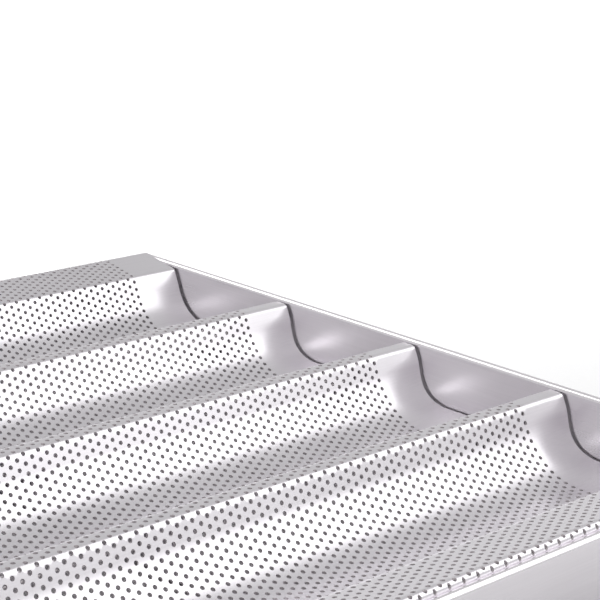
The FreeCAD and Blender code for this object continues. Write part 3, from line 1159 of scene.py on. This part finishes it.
    def build(self) -> bpy.types.Object:
        """Builds the band.

        Returns:
            Its object, not yet in the scene.
        """
        sheet = self.sheet
        stops = np.concatenate([self.front[:-1], sheet.row(self.rows), self.back[1:]])
        upper, lower = self._grid(self.lines, stops)
        begin, stop = len(self.front) - 1, len(self.front) - 1 + len(self.rows)
        self._quads(upper[:, :begin + 1], lower[:, :begin + 1], self.lines, stops[:begin + 1])
        self._quads(upper[:, stop - 1:], lower[:, stop - 1:], self.lines, stops[stop - 1:])
        self._holes(upper[:, begin:stop], lower[:, begin:stop])
        self._plain_cells(upper[:, begin:stop], lower[:, begin:stop])
        self._edge(upper[:, 0], lower[:, 0], (0.0, 0.0, -1.0), Lane.FRONT)
        self._edge(upper[::-1, -1], lower[::-1, -1], (0.0, 0.0, -1.0), Lane.BACK)
        flange = self.section.flange_depth
        inside = np.flatnonzero((stops > flange - 1e-6) & (stops < sheet.developed.length - flange + 1e-6))
        ends = ((self.left_end, -1, 0, Lane.LEFT), (self.right_end, 1, -1, Lane.RIGHT))
        for is_end, side, column, lane in ends:
            pieces = [slice(None)]
            if is_end:
                self._margin(upper[column, inside], lower[column, inside], self.lines[column],
                             stops[inside], side)
                pieces = [slice(0, inside[0] + 1), slice(inside[-1], None)]
            for piece in pieces:
                order = slice(None, None, side)
                self._edge(upper[column, piece][order], lower[column, piece][order],
                           (float(side), 0.0, 0.0), lane)
        name = f"trough_sheet_band_{self.number + 1}"
        return bpy.data.objects.new(name, self.faces.mesh(name))


# ---------------------------------------------------------------- sub-assemblies


def put(piece: bpy.types.Object, materials: Sequence[bpy.types.Material], replaced: str) -> None:
    """Adds a piece to the tray.

    Args:
        piece: New object.
        materials: Materials in the order of the piece's slots.
        replaced: CAD node that the piece stands for.
    """
    bpy.context.scene.collection.objects.link(piece)
    for material in materials:
        piece.data.materials.append(material)
    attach(piece, "root")
    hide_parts(replaced)
    log.info("piece %s: %d faces", piece.name, len(piece.data.polygons))


def dress(nodes: Iterable[str], material: bpy.types.Material) -> None:
    """Gives CAD nodes a finish.

    Args:
        nodes: Names of the nodes.
        material: The finish.
    """
    for name in nodes:
        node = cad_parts[name]
        if not node.material_slots:
            node.data.materials.append(material)
        for slot in node.material_slots:
            slot.material = material
        log.info("node %s: %s", name, material.name)


@dataclass(frozen=True)
class Troughs:
    """The perforated trough sheet and its finishes."""

    section: SheetSection = SheetSection()

    def build(self) -> None:
        """Builds the bands and dresses them."""
        sheet = TroughSheet(DevelopedSheet(self.section))
        skin = RolledAluminium("trough_aluminium", Grain.LENGTHWISE).material()
        wall = PunchedEdge("punched_hole_wall").material()
        for number in range(sheet.bands):
            put(Band(sheet, number).build(), (skin, wall), "trough_sheet")


@dataclass(frozen=True)
class FoldedFrame:
    """The four rails folded from aluminium strip, rubbed along their rounded tops, where a painted highlight
    lightens the tone.
    """

    # Depth under the rails' top of the band with the painted highlight and the rub.
    highlit_rubbed_depth: float = 2.0 * MM
    dark: Colour = (0.86, 0.83, 0.862)
    light: Colour = (0.95, 0.92, 0.952)
    roughness: float = 0.29

    def build(self) -> None:
        """Dresses the rails, each with its rolling lines along it."""
        # Height above which the rails get the painted highlight and the rub.
        above = millimetres(RAIL_TOP) * MM - self.highlit_rubbed_depth
        for pair, grain, ends in (("side", Grain.LENGTHWISE, ("front", "back")),
                                  ("end", Grain.CROSSWISE, ("left", "right"))):
            finish = RolledAluminium(f"{pair}_rail_aluminium", grain, self.dark, self.light, self.roughness,
                                     scuffed_highlit_above=above)
            dress([f"{pair}_rail_{end}" for end in ends], finish.material())


@dataclass(frozen=True)
class Fastenings:
    """Corner brackets, cross braces and blind rivets."""

    corners: tuple[str, ...] = ("front_left", "front_right", "back_right", "back_left")
    roughness: float = 0.34

    def build(self) -> None:
        """Dresses the fastenings."""
        bracket = RolledAluminium("bracket_aluminium", Grain.UPRIGHT, roughness=self.roughness)
        brace = RolledAluminium("brace_aluminium", Grain.CROSSWISE, roughness=self.roughness)
        rivet = DrawnRivet("rivet_aluminium").material()
        dress([f"corner_bracket_{corner}" for corner in self.corners], bracket.material())
        dress(("cross_brace_left", "cross_brace_right"), brace.material())
        dress([f"corner_rivets_{corner}" for corner in self.corners], rivet)
        dress(("flange_rivets_front", "flange_rivets_back", "brace_rivets_left", "brace_rivets_right"), rivet)


# ---------------------------------------------------------------- studio


def spare_floor(lamp: bpy.types.Object) -> None:
    """Keeps a lamp's light off the floor, which then stays a little darker than the walls.

    Args:
        lamp: The lamp.
    """
    spared = bpy.data.collections.new(lamp.name + "_spares")
    spared.objects.link(bpy.data.objects["floor"])
    spared.collection_objects[0].light_linking.link_state = "EXCLUDE"
    lamp.light_linking.receiver_collection = spared


@dataclass(frozen=True)
class Sun:
    """Broad distant lamp, with the direction from the tray to it and its width in degrees."""

    name: str
    toward: Triple
    strength: float
    width: float

    def hang(self) -> None:
        """Adds the lamp to the scene."""
        lamp = bpy.data.lights.new(self.name, "SUN")
        lamp.energy = self.strength
        lamp.angle = math.radians(self.width)
        piece = bpy.data.objects.new(self.name, lamp)
        piece.rotation_mode = "QUATERNION"
        piece.rotation_quaternion = Vector(self.toward).to_track_quat("Z", "Y")
        bpy.context.scene.collection.objects.link(piece)
        spare_floor(piece)


@dataclass(frozen=True)
class Panel:
    """Rectangular lamp that hangs between two edges and shines down.

    A mirrored panel shows in polished metal and spares the floor. Another one only lights.
    """

    name: str
    far_edge: Triple
    near_edge: Triple
    width: float
    glow: float
    mirrored: bool = True

    def hang(self) -> None:
        """Adds the lamp to the scene."""
        far, near = Vector(self.far_edge), Vector(self.near_edge)
        lamp = bpy.data.lights.new(self.name, "AREA")
        lamp.shape = "RECTANGLE"
        lamp.size, lamp.size_y = self.width, (far - near).length
        lamp.energy = self.glow * math.pi * lamp.size * lamp.size_y
        piece = bpy.data.objects.new(self.name, lamp)
        up, side = (far - near).normalized(), Vector((1.0, 0.0, 0.0))
        turn = Matrix((side, up, side.cross(up))).transposed()
        piece.matrix_world = Matrix.Translation((far + near) / 2.0) @ turn.to_4x4()
        piece.visible_camera = False
        piece.visible_glossy = self.mirrored
        bpy.context.scene.collection.objects.link(piece)
        if self.mirrored:
            spare_floor(piece)


@dataclass(frozen=True)
class Studio:
    """Pale floor, soft light and the camera, in metres and degrees."""

    floor_size: float = 16.0
    floor_gap: float = 0.0002
    sky: Colour = (1.0, 1.0, 1.0)
    sky_level: float = 0.66
    sky_fall: float = 0.14
    horizon_level: float = 1.60
    horizon_fade: float = 6.0
    lamps: tuple[Sun | Panel, ...] = (
        Sun("top", (-0.15, -0.25, 0.95), 0.50, 40.0),
        Sun("back", (-0.19, 0.72, 0.67), 0.34, 30.0),
        Panel("softbox", (0.66, -0.110, 0.577), (0.66, -0.850, 0.415), 0.78, 1.2),
        Panel("backdrop_lamp", (1.5, 3.3, 1.5), (1.5, 0.2, 0.75), 3.0, 2.2, mirrored=False),
    )
    eye: Triple = (-0.3020, -0.55049, 0.28278)
    turn: Triple = (74.1288, -1.6014, -43.2504)
    lens: float = 109.8948
    nearest: float = 0.02
    farthest: float = 60.0

    def build(self) -> None:
        """Builds the studio."""
        self.floor()
        self.light()
        self.camera()
        bpy.context.scene.view_settings.view_transform = "Standard"

    def floor(self) -> None:
        """Lays a plain floor under the tray."""
        half = self.floor_size / 2.0
        mesh = bpy.data.meshes.new("floor")
        corners = [(-half, -half, 0.0), (half, -half, 0.0), (half, half, 0.0), (-half, half, 0.0)]
        mesh.from_pydata(corners, [], [(0, 1, 2, 3)])
        piece = bpy.data.objects.new("floor", mesh)
        piece.location.z = CAD_BOX[0].z - self.floor_gap
        bpy.context.scene.collection.objects.link(piece)
        mesh.materials.append(FloorPaper("floor_paper").material())

    def light(self) -> None:
        """Lights the tray with soft lamps and a surround that is brightest at the rear horizon."""
        world = bpy.data.worlds.new("studio")
        world.use_nodes = True
        tree = Tree(world.node_tree)
        toward = tree.node("ShaderNodeTexCoord").outputs["Generated"]
        split = tree.node("ShaderNodeSeparateXYZ", None, {0: toward}).outputs
        rise = Value(tree, split["Z"]).at_least(0.0)
        horizon = 1.0 - (rise * self.horizon_fade).at_most(1.0)
        rear = ((Value(tree, split["X"]) + Value(tree, split["Y"])) * math.sqrt(0.5)).at_least(0.0)
        level = self.sky_level - rise * self.sky_fall + horizon * horizon * rear * self.horizon_level
        sky = tree.node("ShaderNodeBackground", None, {"Color": (*self.sky, 1.0), "Strength": level})
        tree.node("ShaderNodeOutputWorld", None, {"Surface": sky.outputs[0]})
        bpy.context.scene.world = world
        for lamp in self.lamps:
            lamp.hang()

    def camera(self) -> None:
        """Sets up the camera."""
        data = bpy.data.cameras.new("camera")
        data.lens = self.lens
        data.clip_start, data.clip_end = self.nearest, self.farthest
        piece = bpy.data.objects.new("camera", data)
        piece.location = self.eye
        piece.rotation_euler = Euler([math.radians(angle) for angle in self.turn])
        bpy.context.scene.collection.objects.link(piece)
        bpy.context.scene.camera = piece


def main() -> None:
    """Builds the tray's looks in order."""
    logging.basicConfig(level=logging.INFO, format="%(name)s: %(message)s")
    for part in (Troughs(), FoldedFrame(), Fastenings(), Studio()):
        part.build()
        log.info("built %s", type(part).__name__)


if __name__ == "__main__":
    main()
